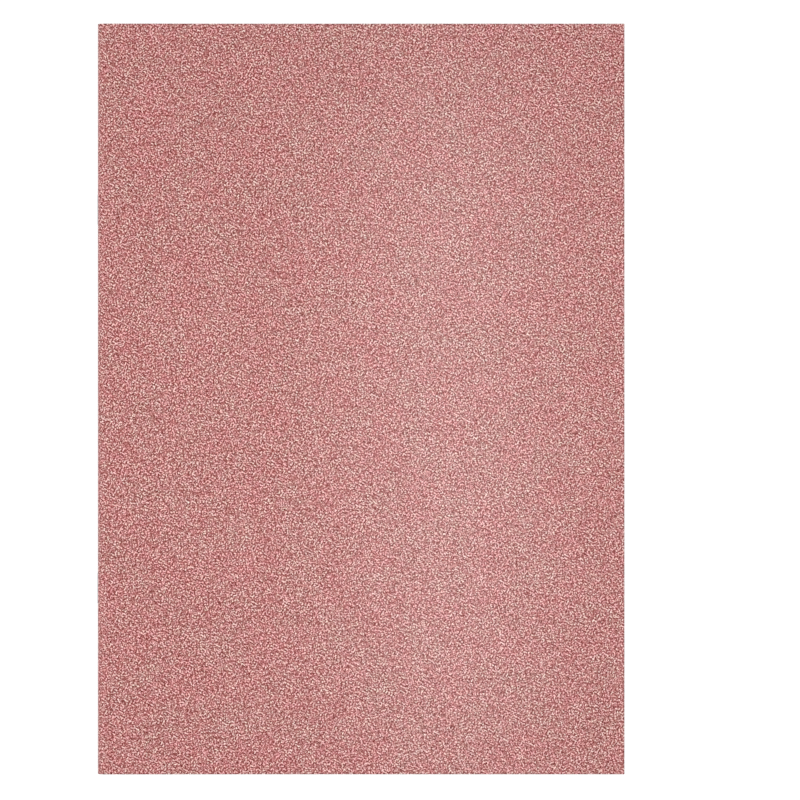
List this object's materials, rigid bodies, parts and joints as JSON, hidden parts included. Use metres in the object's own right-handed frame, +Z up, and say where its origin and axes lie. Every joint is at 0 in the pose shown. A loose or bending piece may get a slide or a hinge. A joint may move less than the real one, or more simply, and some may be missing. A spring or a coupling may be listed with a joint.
{
  "type": "exercise book",
  "caption": "Lined exercise book: folded, ruled sheets held by wire staples in a folded card cover with a rose glitter face. The cover opens flat at its fold.",
  "frame": {"origin": "on the surface the closed book lies on, under the middle of its outline", "axes": "+X from the fold to the fore-edge, +Y from the tail to the head of the page, +Z up out of the front cover"},
  "size_m": [0.2088, 0.297, 0.0068],
  "materials": {
    "paper": "matte",
    "glitter_card": "fine glitter",
    "staple_wire": "bright drawn wire",
    "ruling_ink": "printed, matte"
  },
  "bodies": {
    "back_cover": {"back_cover": "glitter_card"},
    "page_block": {"pages": "paper", "staple_head": "staple_wire", "staple_tail": "staple_wire", "first_page_ruling": "ruling_ink", "last_page_ruling": "ruling_ink"},
    "front_cover": {"front_cover": "glitter_card"}
  },
  "joints": [
    {"name": "back_cover_fold", "type": "hinge", "parent": "back_cover", "child": "page_block", "pos_m": [-0.10412, 0, 0.00338], "axis": [0, -1, 0], "range_deg": [0, 180]},
    {"name": "front_cover_fold", "type": "hinge", "parent": "page_block", "child": "front_cover", "pos_m": [-0.10412, 0, 0.00338], "axis": [0, -1, 0], "range_deg": [0, 180]}
  ]
}
